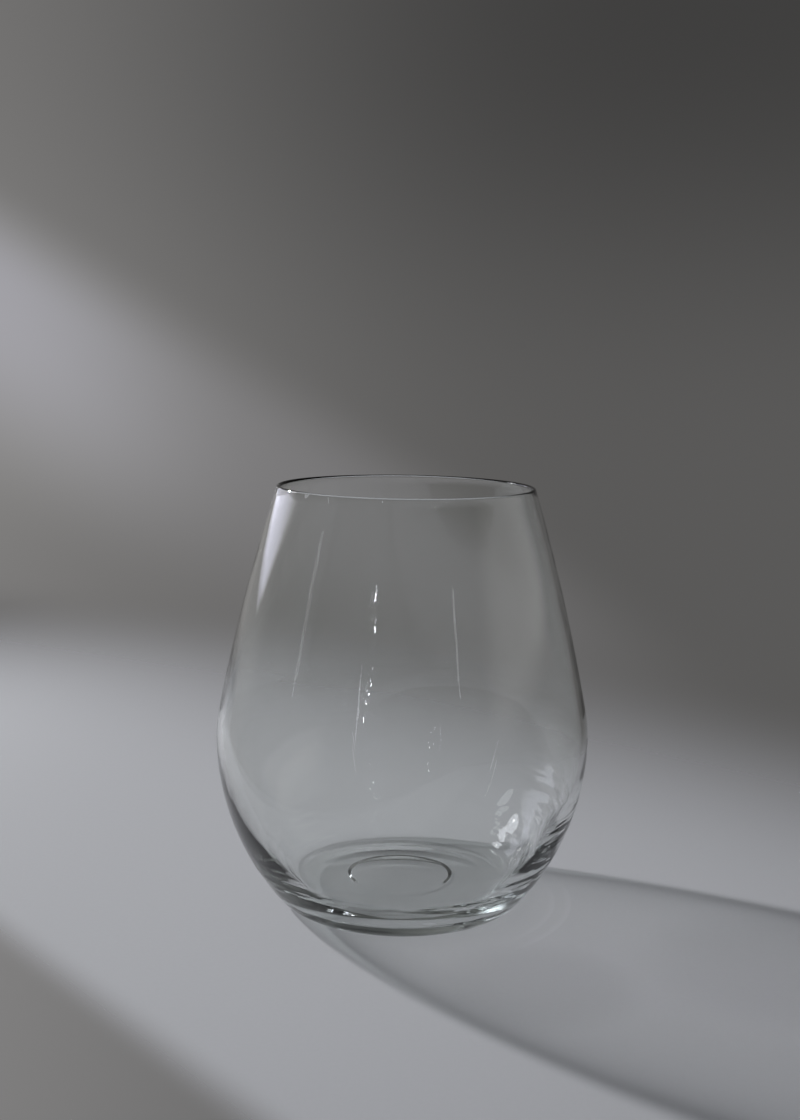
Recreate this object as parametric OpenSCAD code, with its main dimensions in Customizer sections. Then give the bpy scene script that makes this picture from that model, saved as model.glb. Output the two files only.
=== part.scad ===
// Stemless wine glass, blown in one piece of clear glass with a heavy base.
// The origin is the centre of the standing plane, and +Z points up through the mouth.
// The whole glass is one outline, made of tangent arcs, turned about the Z axis.

/* [Bowl] */
// Height from the standing plane to the top of the rim
height = 115; // [100:1:135]
// Widest outside diameter
belly_d = 101.8; // [96:0.2:112]
// Height of the widest point
belly_h = 47; // [40:1:56]
// Radius of the curve just above the widest point
shoulder_r = 36; // [24:1:56]
// Radius of the long curve that draws the side in to the mouth
side_r = 565; // [360:5:900]
// Thickness of the glass at the widest point
belly_t = 1.6; // [1.2:0.1:2.4]

/* [Mouth] */
// Outside diameter of the rim
mouth_d = 70; // [62:1:78]
// Thickness of the glass at the rounded rim
rim_t = 1.2; // [0.8:0.1:2]

/* [Base] */
// Outside diameter of the flat ring that the glass stands on
foot_d = 57.2; // [52:0.2:62]
// Radius of the rounded edge between the standing ring and the bowl
foot_edge_r = 8; // [5:0.5:10]
// Height of the floor inside, at the middle
floor_h = 4; // [3.8:0.1:9]
// Radius of the shallow hollow of the floor inside
floor_dish_r = 400; // [150:10:900]
// Diameter at which the floor inside starts to turn up into the wall
floor_d = 58; // [46:1:60]
// Radius of the turn from the floor inside to the wall
floor_edge_r = 5; // [4:0.5:12]

/* [Underside] */
// Width of the flat standing ring
ring_w = 5; // [2:0.5:8]
// Height of the shallow hollow inside the standing ring
recess_h = 0.5; // [0.3:0.1:0.9]
// Diameter of the dimple in the middle of the underside
dimple_d = 30; // [20:1:36]
// Height of the sloping edge of the dimple
dimple_step = 0.8; // [0.4:0.1:1]
// Height of the dome that roofs the dimple, above its edge
dimple_h = 0.4; // [0.2:0.1:0.8]

/* [Hidden] */

// Clear glass with a trace of green
glass_tint = [0.80, 0.89, 0.86, 0.4];

// Largest turn and largest length of one straight in a curve
facet_turn = 3;
facet_len = 3;
// Turn of one straight in the rounded rim
rim_step = 15;
// Straights in a full turn about the axis
around = 180;

belly_r = belly_d / 2;
foot_r = foot_d / 2;
rim_r = rim_t / 2;
floor_r = floor_d / 2;
dimple_r = dimple_d / 2;
ring_r = foot_r - ring_w;

// Direction at an angle, measured from level and outwards
function heading(a) = [cos(a), sin(a)];

// Radius of a cap of the given height over a circle of radius r
function cap_r(r, rise) = (r * r + rise * rise) / (2 * rise);

// Points along an arc, without the one that it starts from
function arc(centre, r, from, to) =
    let (turn = abs(to - from))
    let (n = ceil(max(turn / facet_turn, turn * PI / 180 * r / facet_len)))
    [for (i = [1:n]) centre + r * heading(from + (to - from) * i / n)];

// Radius of the arc that leaves upright at [wall_r, belly_h] and ends tangent to a
// smaller arc of radius edge_r about edge_c
function wall_arc_r(wall_r, edge_c, edge_r) =
    let (out = wall_r - edge_c[0], up = belly_h - edge_c[1])
    (out * out + up * up - edge_r * edge_r) / (2 * (out - edge_r));

// Side of the bowl, outside: the shoulder arc, then the long arc that touches the rim
rim_c = [mouth_d / 2 - rim_r, height - rim_r];
shoulder_c = [belly_r - shoulder_r, belly_h];
to_rim = rim_c - shoulder_c;
side_gap = side_r - shoulder_r;
side_reach = (pow(side_r - rim_r, 2) - pow(side_gap, 2) - to_rim * to_rim) / (2 * side_gap);
shoulder_turn = atan2(to_rim[1], to_rim[0]) - acos(side_reach / norm(to_rim));
side_c = shoulder_c - side_gap * heading(shoulder_turn);
lean = atan2(rim_c[1] - side_c[1], rim_c[0] - side_c[0]);

// Side of the bowl, inside: the same shoulder less the wall, then an arc to the rim
in_shoulder_r = shoulder_r - belly_t;
in_rim = rim_c - rim_r * heading(lean);
to_in_rim = in_rim - shoulder_c;
in_side_r = (to_in_rim * to_in_rim - pow(in_shoulder_r, 2))
    / (2 * (to_in_rim * heading(lean) - in_shoulder_r));
in_side_c = in_rim - in_side_r * heading(lean);
in_turn = atan2(shoulder_c[1] - in_side_c[1], shoulder_c[0] - in_side_c[0]);

// Lower bowl, outside: the edge of the foot, then one arc up to the widest point
foot_edge_c = [foot_r, foot_edge_r];
bowl_r = wall_arc_r(belly_r, foot_edge_c, foot_edge_r);
bowl_c = [belly_r - bowl_r, belly_h];
foot_turn = atan2(belly_h - foot_edge_c[1], foot_edge_c[0] - bowl_c[0]);

// Lower bowl, inside: the dished floor, its turned-up edge, then one arc to the widest point
floor_c = [0, floor_h + floor_dish_r];
floor_turn = asin(floor_r / floor_dish_r);
floor_edge_c = floor_c + (floor_dish_r - floor_edge_r) * heading(floor_turn - 90);
in_belly_r = belly_r - belly_t;
in_bowl_r = wall_arc_r(in_belly_r, floor_edge_c, floor_edge_r);
in_bowl_c = [in_belly_r - in_bowl_r, belly_h];
edge_turn = atan2(belly_h - floor_edge_c[1], floor_edge_c[0] - in_bowl_c[0]);

// Underside: a shallow hollow inside the standing ring, with a dimple in its middle that
// has a sloping edge and a domed roof
recess_r = cap_r(ring_r, recess_h);
recess_c = [0, recess_h - recess_r];
dimple_base = recess_c[1] + sqrt(recess_r * recess_r - dimple_r * dimple_r);
dome_edge = dimple_r - dimple_step;
dome_r = cap_r(dome_edge, dimple_h);
dome_c = [0, dimple_base + dimple_step + dimple_h - dome_r];

function underside() = concat(
    [dome_c + [0, dome_r]],
    arc(dome_c, dome_r, 90, acos(dome_edge / dome_r)),
    [[dimple_r, dimple_base]],
    arc(recess_c, recess_r, acos(dimple_r / recess_r), acos(ring_r / recess_r)),
    [[foot_r, 0]]
);

function outside() = concat(
    arc(foot_edge_c, foot_edge_r, -90, -foot_turn),
    arc(bowl_c, bowl_r, -foot_turn, 0),
    arc(shoulder_c, shoulder_r, 0, shoulder_turn),
    arc(side_c, side_r, shoulder_turn, lean)
);

// The rim turns half round, in finer steps than the long curves
function rim() = [for (a = [rim_step:rim_step:180]) rim_c + rim_r * heading(lean + a)];

function inside() = concat(
    arc(in_side_c, in_side_r, lean, in_turn),
    arc(shoulder_c, in_shoulder_r, in_turn, 0),
    arc(in_bowl_c, in_bowl_r, 0, -edge_turn),
    arc(floor_edge_c, floor_edge_r, -edge_turn, floor_turn - 90),
    arc(floor_c, floor_dish_r, floor_turn - 90, -90)
);

module stemless_glass() {
    color(glass_tint)
        rotate_extrude($fn = around)
            polygon(concat(underside(), outside(), rim(), inside()));
}

stemless_glass();
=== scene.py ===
import math

import bmesh
import bpy
from bpy.props import FloatProperty, FloatVectorProperty, IntProperty, PointerProperty
from mathutils import Matrix, Quaternion, Vector


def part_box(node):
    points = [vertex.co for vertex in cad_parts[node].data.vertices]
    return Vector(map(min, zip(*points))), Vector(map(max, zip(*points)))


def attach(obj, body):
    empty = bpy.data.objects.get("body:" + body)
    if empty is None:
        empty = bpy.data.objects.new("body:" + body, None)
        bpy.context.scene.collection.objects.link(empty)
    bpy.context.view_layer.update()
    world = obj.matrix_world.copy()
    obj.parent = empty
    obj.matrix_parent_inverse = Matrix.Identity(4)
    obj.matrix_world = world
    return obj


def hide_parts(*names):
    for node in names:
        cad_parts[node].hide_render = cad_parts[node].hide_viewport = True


bl_info = {
    "name": "Stemless wine glass",
    "version": (1, 0, 0),
    "blender": (4, 5, 0),
    "location": "3D View > Sidebar > Glass",
    "description": "Models a stemless wine glass over its CAD frame and sets its studio",
    "category": "Object",
}

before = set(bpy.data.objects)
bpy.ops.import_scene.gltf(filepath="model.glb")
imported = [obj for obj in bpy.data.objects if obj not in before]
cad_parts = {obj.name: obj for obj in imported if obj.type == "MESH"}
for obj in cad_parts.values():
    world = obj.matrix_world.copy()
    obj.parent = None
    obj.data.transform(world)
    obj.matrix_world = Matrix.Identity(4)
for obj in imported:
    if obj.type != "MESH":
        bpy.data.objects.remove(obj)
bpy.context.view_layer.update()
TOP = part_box("stemless_glass")[1]
MM = 0.001

# Lamps are placed about the middle of the glass, by azimuth and elevation in degrees
MIDDLE = Vector((0, 0, 0.05))
WARM, COOL = (1, 0.985, 0.96), (0.9, 0.92, 1.0)
# Name, azimuth, elevation, distance, size and power
OVALS = (
    ("oval", 172, 25, 2.0, (0.24, 0.42), 0.55),
    ("glow", 143, 25, 1.2, (0.34, 0.26), 1.2),
)
# Name, azimuth, elevation, height and power of the thin upright lamps, 2 m off
SLITS = (
    ("left_slit", 198, 13, 0.5, 0.08),
    ("front_slit", 242.5, 9.5, 0.2, 0.03),
    ("right_slit", 306, 15, 0.35, 0.05),
)
# Azimuth, elevation and height of the small bright panes, 2 m off, and watts to a metre
PANES = (
    (249, 20.2, 0.03), (250, 17.1, 0.026), (250, 12.3, 0.011), (249, 11.2, 0.009),
    (247.5, 9.9, 0.013), (246.5, 8.5, 0.014), (296, 40, 0.03), (296, 29, 0.03),
)
PANE_POWER = 3.5

# Camera: pitch down, yaw and roll in degrees
CAMERA_PLACE = (0, -0.3892, 0.1511)
CAMERA_ANGLES = (8.2426, -0.1965, 0.9129)

# The floor stays this far below the standing ring, and points closer than this are one
FLOOR_GAP = 0.03 * MM
SAME_POINT = 0.002 * MM
# Arcs whose ends are closer than this meet, and other ends are joined by a straight in shares
TOUCHING = 0.0001 * MM
CORNER_SHARES = (0.05, 0.9, 0.05)


# Sizes, finish and studio: what a user would change


def length(name, description, default, lowest, highest):
    """A size in metres, shown in the scene's own unit."""
    return FloatProperty(
        name=name, description=description, default=default, min=lowest, max=highest,
        subtype="DISTANCE", unit="LENGTH", precision=5,
    )


class GlassSizes(bpy.types.PropertyGroup):
    """Outline of the glass, the same lengths as the CAD part."""

    height: length("Height", "Standing plane to the top of the rim", TOP[2], 0.1, 0.135)
    belly_r: length("Belly radius", "Widest outside radius", TOP[0], 0.048, 0.056)
    belly_h: length("Belly height", "Height of the widest point", 47 * MM, 0.04, 0.056)
    shoulder_r: length(
        "Shoulder arc", "Curve just above the widest point", 36 * MM, 0.024, 0.056
    )
    side_r: length("Side arc", "Long curve that draws the mouth in", 565 * MM, 0.36, 0.9)
    belly_t: length("Wall", "Thickness at the widest point", 1.6 * MM, 0.0012, 0.0024)
    mouth_r: length("Mouth radius", "Outside radius of the rim", 35 * MM, 0.031, 0.039)
    rim_t: length("Rim", "Thickness at the rounded rim", 1.2 * MM, 0.0008, 0.002)
    foot_r: length("Foot radius", "Outside of the standing ring", 28.6 * MM, 0.026, 0.033)
    foot_edge_r: length(
        "Foot edge", "Rounding between standing ring and bowl", 8 * MM, 0.005, 0.01
    )
    floor_h: length("Floor height", "Floor inside, at the middle", 4 * MM, 0.0034, 0.009)
    floor_dish_r: length(
        "Floor dish", "Curve of the shallow hollow of the floor", 400 * MM, 0.15, 0.9
    )
    floor_r: length("Floor radius", "Where the floor starts to turn up", 29 * MM, 0.022, 0.03)
    floor_edge_r: length("Floor edge", "Turn from floor to wall", 5 * MM, 0.004, 0.014)
    ring_w: length("Ring width", "Flat ring that the glass stands on", 5 * MM, 0.002, 0.008)
    recess_h: length(
        "Hollow", "Height of the hollow inside the ring", 0.5 * MM, 0.0003, 0.001
    )
    dimple_r: length("Dimple radius", "Dimple in the underside", 15 * MM, 0.01, 0.018)
    dimple_step: length("Dimple edge", "Height of its sloping edge", 0.8 * MM, 0.0004, 0.001)
    dimple_h: length("Dimple", "Height of its dome", 0.4 * MM, 0.0002, 0.0008)
    around: IntProperty(
        name="Steps around", description="Steps in the full turn", default=240, min=48, max=360
    )


class GlassFinish(bpy.types.PropertyGroup):
    """Clear glass: bend of light, tint, waviness of the blown wall and faint smears."""

    ior: FloatProperty(
        name="Bend", description="Index of refraction", default=1.5, min=1.3, max=1.8
    )
    tint: FloatVectorProperty(
        name="Tint", description="Colour that thick glass takes on", subtype="COLOR",
        default=(0.74, 0.93, 0.86), min=0, max=1,
    )
    body: FloatVectorProperty(
        name="Body", description="Faint colour that even thin glass has", subtype="COLOR",
        default=(0.988, 0.997, 0.989), min=0, max=1,
    )
    tint_depth: FloatProperty(
        name="Tint depth", description="How fast the tint builds up, per metre",
        default=6.0, min=0, max=40,
    )
    wave: FloatProperty(
        name="Waviness", description="Strength of the upright waves in the wall",
        default=0.08, min=0, max=1, subtype="FACTOR",
    )
    smear: FloatProperty(
        name="Smears", description="Roughness of the faint smears", default=0.1,
        min=0, max=0.3, subtype="FACTOR",
    )


class StudioSettings(bpy.types.PropertyGroup):
    """Floor, room and lamps."""

    floor_tone: FloatVectorProperty(
        name="Floor", description="Colour of the floor by the glass", subtype="COLOR",
        default=(0.36, 0.372, 0.405), min=0, max=1,
    )
    room_tone: FloatVectorProperty(
        name="Room", description="Colour of the room behind", subtype="COLOR",
        default=(0.0735, 0.072, 0.0708), min=0, max=1,
    )
    pane_tone: FloatVectorProperty(
        name="Pane", description="Colour of the bright pane at the back left",
        subtype="COLOR", default=(0.068, 0.068, 0.08), min=0, max=1,
    )
    key_power: FloatProperty(
        name="Key", description="Power of the lamp at the back left", default=11.9, min=0,
        subtype="POWER", unit="POWER",
    )


# Selecting, and the outline


def clear_selection():
    """Nothing is selected before a piece is started."""
    if bpy.context.object and bpy.context.object.mode != "OBJECT":
        bpy.ops.object.mode_set(mode="OBJECT")
    bpy.ops.object.select_all(action="DESELECT")


def heading(angle):
    """Direction in the XZ plane, measured in degrees from level and outwards."""
    return Vector((math.cos(math.radians(angle)), 0, math.sin(math.radians(angle))))


def slope(v):
    """Angle in degrees of a vector in the XZ plane."""
    return math.degrees(math.atan2(v.z, v.x))


def cap_r(r, rise):
    """Radius of a cap of the given height over a circle of radius r."""
    return (r * r + rise * rise) / (2 * rise)


def wall_arc_r(wall_r, belly_h, edge_c, edge_r):
    """Radius of the arc that leaves upright at the belly, tangent to the edge's arc."""
    out, up = wall_r - edge_c.x, belly_h - edge_c.z
    return (out * out + up * up - edge_r * edge_r) / (2 * (out - edge_r))


def outline(s):
    """The arcs of the glass in turn, from the middle of the dimple to the middle of the
    floor inside, as (centre, radius, from, to, steps)."""
    rim_r = s.rim_t / 2
    rim_c = Vector((s.mouth_r - rim_r, 0, s.height - rim_r))
    shoulder_c = Vector((s.belly_r - s.shoulder_r, 0, s.belly_h))
    to_rim = rim_c - shoulder_c
    gap = s.side_r - s.shoulder_r
    reach = ((s.side_r - rim_r) ** 2 - gap**2 - to_rim.length_squared) / (2 * gap)
    turn = slope(to_rim) - math.degrees(math.acos(reach / to_rim.length))
    side_c = shoulder_c - gap * heading(turn)
    lean = slope(rim_c - side_c)

    in_shoulder_r = s.shoulder_r - s.belly_t
    in_rim = rim_c - rim_r * heading(lean)
    to_in = in_rim - shoulder_c
    in_side_r = (to_in.length_squared - in_shoulder_r**2) / (
        2 * (to_in.dot(heading(lean)) - in_shoulder_r)
    )
    in_side_c = in_rim - in_side_r * heading(lean)
    in_turn = slope(shoulder_c - in_side_c)

    foot_c = Vector((s.foot_r, 0, s.foot_edge_r))
    bowl_r = wall_arc_r(s.belly_r, s.belly_h, foot_c, s.foot_edge_r)
    bowl_c = Vector((s.belly_r - bowl_r, 0, s.belly_h))
    foot_turn = slope(foot_c - bowl_c)

    floor_c = Vector((0, 0, s.floor_h + s.floor_dish_r))
    floor_turn = math.degrees(math.asin(s.floor_r / s.floor_dish_r)) - 90
    edge_c = floor_c + (s.floor_dish_r - s.floor_edge_r) * heading(floor_turn)
    in_belly = s.belly_r - s.belly_t
    in_bowl_r = wall_arc_r(in_belly, s.belly_h, edge_c, s.floor_edge_r)
    in_bowl_c = Vector((in_belly - in_bowl_r, 0, s.belly_h))
    edge_turn = slope(edge_c - in_bowl_c)

    ring_in = s.foot_r - s.ring_w
    recess_r = cap_r(ring_in, s.recess_h)
    recess_c = Vector((0, 0, s.recess_h - recess_r))
    dimple_base = recess_c.z + math.sqrt(recess_r**2 - s.dimple_r**2)
    dome_edge = s.dimple_r - s.dimple_step
    dome_r = cap_r(dome_edge, s.dimple_h)
    dome_c = Vector((0, 0, dimple_base + s.dimple_step + s.dimple_h - dome_r))

    def at(r, big):
        return math.degrees(math.acos(r / big))

    return [
        (dome_c, dome_r, 90, at(dome_edge, dome_r), 30),
        (recess_c, recess_r, at(s.dimple_r, recess_r), at(ring_in, recess_r), 20),
        (foot_c, s.foot_edge_r, -90, foot_turn, 20),
        (bowl_c, bowl_r, foot_turn, 0, 36),
        (shoulder_c, s.shoulder_r, 0, turn, 12),
        (side_c, s.side_r, turn, lean, 30),
        (rim_c, rim_r, lean, lean + 180, 16),
        (in_side_c, in_side_r, lean, in_turn, 30),
        (shoulder_c, in_shoulder_r, in_turn, 0, 12),
        (in_bowl_c, in_bowl_r, 0, edge_turn, 36),
        (edge_c, s.floor_edge_r, edge_turn, floor_turn, 20),
        (floor_c, s.floor_dish_r, floor_turn, -90, 20),
    ]


def draw_outline(arcs):
    """Edit mode on the active mesh: one vertex is swept along each arc, as by hand. An arc
    that doesn't start where the last one ended is reached by a straight, with a short piece
    at each end that keeps the corner's shading to itself."""
    mesh = bpy.context.object.data
    start = arcs[0][0] + arcs[0][1] * heading(arcs[0][2])
    bpy.ops.mesh.select_all(action="SELECT")
    bpy.ops.mesh.merge(type="CENTER")
    bm = bmesh.from_edit_mesh(mesh)
    bm.verts.ensure_lookup_table()
    here = bm.verts[0].co.copy()
    bpy.ops.transform.translate(value=start - here)
    here = start
    for centre, r, begin, end, steps in arcs:
        first = centre + r * heading(begin)
        if (first - here).length > TOUCHING:
            for share in CORNER_SHARES:
                bpy.ops.mesh.extrude_region_move(
                    TRANSFORM_OT_translate={"value": (first - here) * share}
                )
        bpy.ops.mesh.spin(
            steps=steps, angle=math.radians(end - begin), center=centre, axis=(0, 1, 0),
            use_auto_merge=False,
        )
        here = centre + r * heading(end)
    return here


def turn_about_axis(steps):
    """Edit mode: the whole outline is spun a full turn about Z, its seam and both poles are
    merged and its faces point out."""
    bpy.ops.mesh.select_all(action="SELECT")
    bpy.ops.mesh.spin(
        steps=steps, angle=math.tau, center=(0, 0, 0), axis=(0, 0, 1), use_auto_merge=True
    )
    bpy.ops.mesh.select_all(action="SELECT")
    bpy.ops.mesh.remove_doubles(threshold=SAME_POINT)
    bpy.ops.mesh.normals_make_consistent(inside=False)


# Materials, written as expressions on sockets


class Sock:
    """A shader socket that takes part in Python arithmetic with others and with numbers."""

    def __init__(self, tree, socket):
        self.tree, self.socket = tree, socket

    def maths(self, operation, first, second):
        return self.tree.add("ShaderNodeMath", {"operation": operation}, {0: first, 1: second})

    def __add__(self, other):
        return self.maths("ADD", self, other)

    def __sub__(self, other):
        return self.maths("SUBTRACT", self, other)

    def __rsub__(self, other):
        return self.maths("SUBTRACT", other, self)

    def __mul__(self, other):
        return self.maths("MULTIPLY", self, other)

    __radd__ = __add__
    __rmul__ = __mul__

    def most(self, other):
        """The greater of the two, for light that doesn't add up."""
        return self.maths("MAXIMUM", self, other)

    def between(self, low, high):
        """0 at low, 1 at high, eased in between."""
        return self.tree.add(
            "ShaderNodeMapRange", {"interpolation_type": "SMOOTHERSTEP"},
            {"Value": self, "From Min": low, "From Max": high},
        )


class Tree:
    """A material's or the world's node tree, emptied, with one method that adds a node."""

    def __init__(self, owner):
        owner.use_nodes = True
        self.nodes, self.links = owner.node_tree.nodes, owner.node_tree.links
        self.nodes.clear()

    def add(self, kind, settings=None, inputs=None, out=0):
        """A node of one type: settings first, then the values or links of its sockets.
        Gives back the output that out names."""
        node = self.nodes.new(kind)
        for name, value in (settings or {}).items():
            setattr(node, name, value)
        for name, value in (inputs or {}).items():
            if isinstance(value, Sock):
                self.links.new(value.socket, node.inputs[name])
            else:
                node.inputs[name].default_value = value
        return Sock(self, node.outputs[out]) if node.outputs else None

    def place(self):
        """Object coordinates of the piece, which is where its mesh is in metres."""
        return self.add("ShaderNodeTexCoord", out="Object")

    def split(self, vector):
        node = self.add("ShaderNodeSeparateXYZ", inputs={0: vector}).socket.node
        return [Sock(self, output) for output in node.outputs]

    def noise(self, vector, scale, detail, rough=0.5, stretch=None):
        """Soft noise. A stretch above 1 along an axis packs the pattern closer there."""
        if stretch:
            vector = self.add(
                "ShaderNodeVectorMath", {"operation": "MULTIPLY"}, {0: vector, 1: stretch}
            )
        return self.add(
            "ShaderNodeTexNoise", {},
            {"Vector": vector, "Scale": scale, "Detail": detail, "Roughness": rough},
        )


def clear_glass(finish):
    """Clear glass: thick parts take a green tint, the blown wall has slow upright waves, tool
    lines go round the outside low down, and faint smears dull the upper side."""
    mat = bpy.data.materials.new("clear_glass")
    t = Tree(mat)
    place = t.place()
    x, y, z = t.split(place)
    off_axis = x * x + y * y

    # Waves of the blown wall, above the base
    streaks = t.noise(place, 95, 2.5, stretch=(1, 1, 0.16))
    swell = t.noise(place, 24, 1.0, stretch=(1, 1, 0.45))
    ripple = t.noise(place, 85, 1.0, stretch=(1, 1, 1.1))
    waves = (streaks * 0.45 + swell + ripple * 0.5) * z.between(0.012, 0.03)

    # Tool lines: stronger towards the right, where they reach higher and show mostly edge on
    edge_on = t.add("ShaderNodeLayerWeight", {}, {"Blend": 0.5}, out="Facing")
    lines = t.noise(place, 36, 1.5, stretch=(1, 1, 7))
    outside = off_axis.between(0.00072, 0.001) * (0.4 + x.between(-0.01, 0.025) * 0.9)
    above = z.between(0.009, 0.017)
    higher = x.between(0.034, 0.042) * above * (1 - z.between(0.026, 0.036))
    higher = higher * (0.05 + edge_on * edge_on * 6)
    tooled = z.between(0.001, 0.006) * (1 - above) * outside + higher
    normal = t.add(
        "ShaderNodeBump", {},
        {
            "Strength": finish.wave,
            "Distance": 0.0006,
            "Height": waves + lines * tooled * 20,
        },
    )

    # Smears: rubbed streaks in patches, near the rim
    rub = t.noise(place, 60, 5.0, 0.65, stretch=(1, 1, 0.3)).between(0.5, 0.72)
    patch = t.noise(place, 18, 1.0).between(0.45, 0.65)
    haze = rub * patch * z.between(0.075, 0.1) * finish.smear

    glass = t.add(
        "ShaderNodeBsdfPrincipled", {},
        {
            "Base Color": (*finish.body, 1),
            "Roughness": haze,
            "IOR": finish.ior,
            "Transmission Weight": 1.0,
            "Normal": normal,
        },
    )

    # Lamps shine through it, less so where it's seen edge on, and least of all high up
    lamp_ray = t.add("ShaderNodeLightPath", out="Is Shadow Ray")
    dimming = edge_on * edge_on * edge_on * (0.3 + z.between(0.02, 0.09) * 0.4)
    seen = t.add(
        "ShaderNodeMixShader", {},
        {0: lamp_ray * (0.952 - dimming), 1: glass, 2: t.add("ShaderNodeBsdfTransparent")},
    )
    depth = t.add(
        "ShaderNodeVolumeAbsorption", {},
        {"Color": (*finish.tint, 1), "Density": finish.tint_depth},
    )
    t.add("ShaderNodeOutputMaterial", {}, {"Surface": seen, "Volume": depth})
    return mat


def floor_paint(studio):
    """Pale floor by the glass, with painted light: a little paler away from the key, and faded
    into the room far off and, as a painted fall-off of the light, to the back right.
    Painted caustics: faint pale arcs of painted light and dimmer patches of painted shade where
    the glass bends light."""
    mat = bpy.data.materials.new("studio_floor")
    t = Tree(mat)
    place = t.place()
    x, y, z = t.split(place)
    off_axis = x * x + y * y

    def patch(at_x, at_y, r):
        """1 at a spot, eased to 0 at the radius r about it."""
        u, v = x - at_x, y - at_y
        return 1 - (u * u + v * v).between(0, r * r)

    def arc(r):
        """Thin line round the axis, which rises slowly to the radius r and falls fast."""
        rise = off_axis.between((r - 0.0022) ** 2, r * r)
        return rise * (1 - off_axis.between(r * r, (r + 0.0008) ** 2))

    grain = t.noise(place, 900, 3.0)
    # Painted light: paler towards the front right, away from the key, which shapes the pool of
    # light on the floor
    away = (x * 0.8 + y * -0.6).between(-0.26, 0.2)
    # Painted caustics: two dim patches of painted shade and two thin pale arcs of painted light
    # inside the glass's shadow
    dim = patch(0.034, -0.058, 0.03) * 0.09 + patch(0.094, -0.045, 0.042) * 0.08
    arcs = (arc(0.043) + arc(0.0475)) * x.between(0.024, 0.042) * (y * -1).between(-0.02, 0.01)
    level = (0.62 + away * 0.56 + grain * 0.04) * (1 - dim + arcs * 0.05)
    tone = t.add(
        "ShaderNodeVectorMath", {"operation": "SCALE"},
        {0: tuple(studio.floor_tone), "Scale": level},
    )
    near = t.add(
        "ShaderNodeBsdfPrincipled", {},
        {"Base Color": tone, "Roughness": 0.85, "Specular IOR Level": 0.15},
    )

    # Where the floor is lost into the room: a painted fall-off of the light at the back right,
    # a painted shadow in a corner at the front left, and far off
    back = (x * 0.5 + y * 0.9 + x.most(0) * 0.4).between(0.03, 0.4)
    # Painted shadow across the corner at the front left
    corner = (x * -0.77 + y * -0.64).between(0.089, 0.108) * 0.9
    far = t.add("ShaderNodeVectorMath", {"operation": "LENGTH"}, {0: place}, out="Value")
    painted_shade_and_far_fade = back.most(corner).most(far.between(0.4, 1.6))
    surface = t.add(
        "ShaderNodeMixShader", {},
        {0: painted_shade_and_far_fade, 1: near, 2: t.add("ShaderNodeBsdfTransparent")},
    )
    t.add("ShaderNodeOutputMaterial", {}, {"Surface": surface})
    return mat


def room_light(studio):
    """The room round the glass by direction: dim, a little lighter low down, with a glow at
    the back left, a slanting beam across it, a bright pane left of the camera's view and a
    pale wall at the right."""
    world = bpy.data.worlds.new("room")
    t = Tree(world)
    x, y, z = t.split(t.add("ShaderNodeTexCoord", out="Generated"))
    behind = y.between(0.2, 0.6)
    low = z * -1
    left = x * -1

    wall = 0.69 + low.between(-0.25, 0.1) * 0.7 + left.between(-0.2, 0.1) * 0.22
    glow = left.between(-0.1, 0.45) * (1.75 - low.between(0.05, 0.18) * 0.4)
    across = z + x * 0.6 + 0.094
    band = (1 - across.between(-0.035, 0.05)) * across.between(-0.2, -0.03)
    beam = band * (left.between(-0.3, 0.05) * 0.75 + left.between(0.08, 0.3) * 1.55)
    pale_wall = x.between(0.75, 0.98) * z.between(0.02, 0.1) * (1 - z.between(0.3, 0.45))
    slant = (1 - (left - z * 0.6).between(0.77, 0.84)) * left.between(0.38, 0.5)
    pane = slant * z.between(0.01, 0.04) * (1 - z.between(0.2, 0.3)) * behind

    level = wall + (glow + beam) * behind + pale_wall * 6
    tone = t.add(
        "ShaderNodeMix", {"data_type": "RGBA"},
        {0: pane.most(beam * 0.22), 6: (*studio.room_tone, 1), 7: (*studio.pane_tone, 1)},
        out=2,
    )
    light = t.add(
        "ShaderNodeBackground", {}, {"Color": tone, "Strength": level.most(pane * 22)}
    )
    t.add("ShaderNodeOutputWorld", {}, {"Surface": light})
    return world


# Operators


class OBJECT_OT_stemless_glass(bpy.types.Operator):
    """Model the glass from its outline and let it stand for the CAD solid"""

    bl_idname = "object.stemless_glass"
    bl_label = "Stemless glass"
    bl_options = {"REGISTER", "UNDO"}

    def execute(self, context):
        sizes = context.scene.glass_sizes
        clear_selection()
        bpy.ops.mesh.primitive_plane_add(size=0.002, location=(0, 0, 0))
        piece = context.object
        piece.name = piece.data.name = "glass_body"
        bpy.ops.object.mode_set(mode="EDIT")
        draw_outline(outline(sizes))
        turn_about_axis(sizes.around)
        bpy.ops.object.mode_set(mode="OBJECT")
        bpy.ops.object.shade_smooth()
        piece.data.materials.append(clear_glass(context.scene.glass_finish))
        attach(piece, "root")
        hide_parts("stemless_glass")
        return {"FINISHED"}


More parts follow.
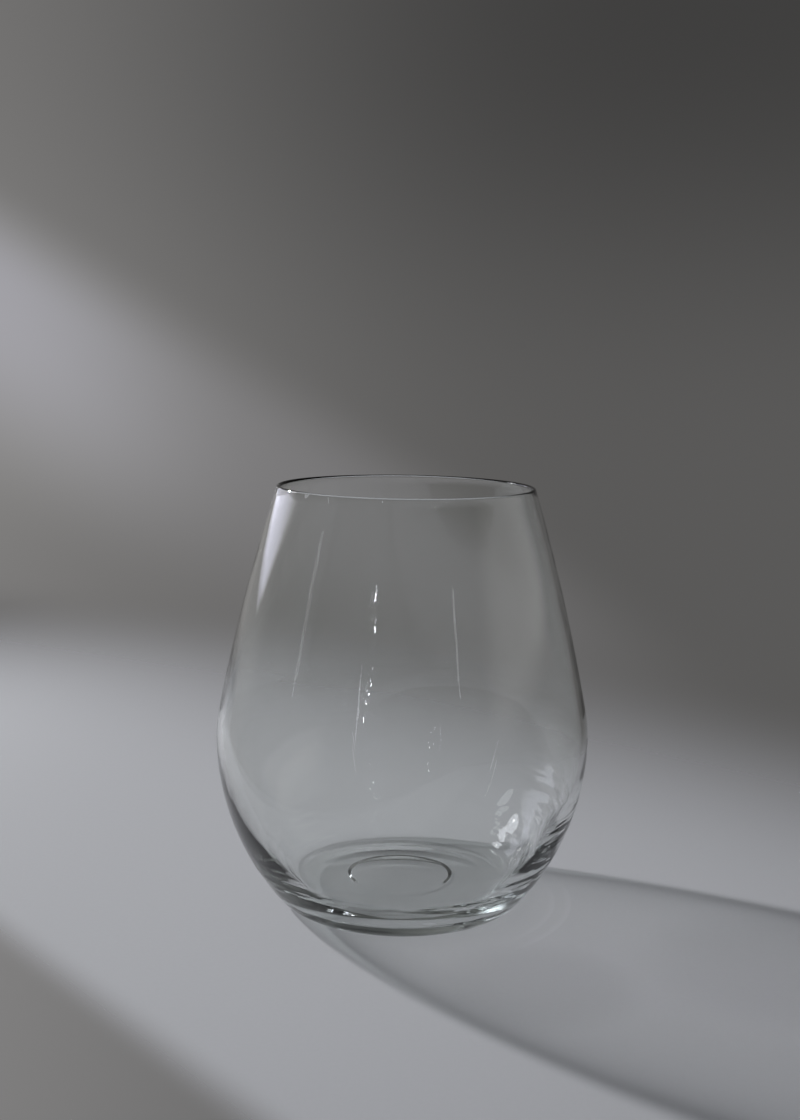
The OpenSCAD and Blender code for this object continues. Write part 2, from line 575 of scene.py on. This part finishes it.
class OBJECT_OT_glass_stage(bpy.types.Operator):
    """Lay the floor, set the room, the lamps and the camera"""

    bl_idname = "object.glass_stage"
    bl_label = "Studio and camera"
    bl_options = {"REGISTER", "UNDO"}

    def floor(self, studio):
        """A round floor, a hair below the glass, with a ring of faces further out."""
        clear_selection()
        bpy.ops.mesh.primitive_circle_add(
            vertices=96, radius=2.4, fill_type="NGON", location=(0, 0, 0)
        )
        floor = bpy.context.object
        floor.name = floor.data.name = "studio_floor"
        bpy.ops.object.mode_set(mode="EDIT")
        bpy.ops.mesh.select_all(action="SELECT")
        bpy.ops.mesh.inset(thickness=1.2)
        bpy.ops.mesh.select_all(action="SELECT")
        bpy.ops.transform.translate(value=(0, 0, -FLOOR_GAP))
        bpy.ops.object.mode_set(mode="OBJECT")
        floor.data.materials.append(floor_paint(studio))

    def lamp(self, name, azimuth, elevation, distance, size, power, colour, up=0.0, roll=0.0):
        """A flat lamp, placed about the middle of the glass and out of the camera's own
        sight. It faces the axis, so far above the middle, and is rolled about its normal."""
        a, e = math.radians(azimuth), math.radians(elevation)
        away = Vector((math.cos(e) * math.cos(a), math.cos(e) * math.sin(a), math.sin(e)))
        spot = MIDDLE + away * distance
        bpy.ops.object.light_add(type="AREA", location=spot)
        lamp = bpy.context.object
        lamp.name = name
        face = (MIDDLE + Vector((0, 0, up)) - spot).to_track_quat("-Z", "Y")
        lamp.rotation_euler = (face @ Quaternion((0, 0, 1), math.radians(roll))).to_euler()
        lamp.data.shape = "RECTANGLE"
        lamp.data.size, lamp.data.size_y = size
        lamp.data.energy, lamp.data.color = power, colour
        lamp.visible_camera = False
        return lamp

    def lamps(self, studio):
        """The key throws the shadow. The others are there to be mirrored in the glass."""
        self.lamp("key", 143.3, 24.4, 0.64, (0.028, 0.036), studio.key_power, WARM, up=0.5)
        for name, azimuth, elevation, distance, size, power in OVALS:
            oval = self.lamp(name, azimuth, elevation, distance, size, power, COOL, roll=-15)
            oval.data.shape = "ELLIPSE"
        for name, azimuth, elevation, tall, power in SLITS:
            self.lamp(name, azimuth, elevation, 2.0, (0.012, tall), power, COOL)
        for i, (azimuth, elevation, tall) in enumerate(PANES):
            size = (0.022, tall)
            self.lamp(f"pane_{i}", azimuth, elevation, 2.0, size, tall * PANE_POWER, COOL)

    def camera(self, scene):
        """The photo's camera, a little above the rim and looking down at the belly."""
        pitch, yaw, roll = (math.radians(v) for v in CAMERA_ANGLES)
        ahead = Vector(
            (math.sin(yaw) * math.cos(pitch), math.cos(yaw) * math.cos(pitch), -math.sin(pitch))
        )
        right = Vector((math.cos(yaw), -math.sin(yaw), 0))
        up = right.cross(ahead)
        across = right * math.cos(roll) + up * math.sin(roll)
        upright = up * math.cos(roll) - right * math.sin(roll)
        bpy.ops.object.camera_add(location=CAMERA_PLACE)
        camera = bpy.context.object
        camera.name = "camera"
        turn = Matrix((across, upright, -ahead)).transposed().to_4x4()
        camera.matrix_world = Matrix.Translation(camera.location) @ turn
        camera.data.sensor_fit = "VERTICAL"
        camera.data.sensor_height = 36
        camera.data.lens = 46.54
        camera.data.clip_start, camera.data.clip_end = 0.01, 20
        scene.camera = camera

    def execute(self, context):
        scene = context.scene
        self.floor(scene.glass_studio)
        self.lamps(scene.glass_studio)
        scene.world = room_light(scene.glass_studio)
        self.camera(scene)

        scene.view_settings.view_transform = "Standard"
        scene.cycles.max_bounces = scene.cycles.transmission_bounces = 24
        scene.cycles.glossy_bounces = 12
        scene.cycles.transparent_max_bounces = 24
        scene.cycles.caustics_refractive = scene.cycles.caustics_reflective = False
        return {"FINISHED"}


class VIEW3D_PT_stemless_glass(bpy.types.Panel):
    """Sidebar panel with the glass, its sizes and its studio"""

    bl_label = "Stemless wine glass"
    bl_idname = "VIEW3D_PT_stemless_glass"
    bl_space_type = "VIEW_3D"
    bl_region_type = "UI"
    bl_category = "Glass"

    def draw(self, context):
        scene = context.scene
        for group in (scene.glass_sizes, scene.glass_finish, scene.glass_studio):
            box = self.layout.box()
            for name in group.bl_rna.properties.keys():
                if name not in ("rna_type", "name"):
                    box.prop(group, name)
        self.layout.operator(OBJECT_OT_stemless_glass.bl_idname)
        self.layout.operator(OBJECT_OT_glass_stage.bl_idname)


CLASSES = (
    GlassSizes,
    GlassFinish,
    StudioSettings,
    OBJECT_OT_stemless_glass,
    OBJECT_OT_glass_stage,
    VIEW3D_PT_stemless_glass,
)


def register():
    for cls in CLASSES:
        bpy.utils.register_class(cls)
    bpy.types.Scene.glass_sizes = PointerProperty(type=GlassSizes)
    bpy.types.Scene.glass_finish = PointerProperty(type=GlassFinish)
    bpy.types.Scene.glass_studio = PointerProperty(type=StudioSettings)


def unregister():
    del bpy.types.Scene.glass_studio
    del bpy.types.Scene.glass_finish
    del bpy.types.Scene.glass_sizes
    for cls in reversed(CLASSES):
        bpy.utils.unregister_class(cls)


def main():
    register()
    bpy.ops.object.stemless_glass()
    bpy.ops.object.glass_stage()


if __name__ == "__main__":
    main()
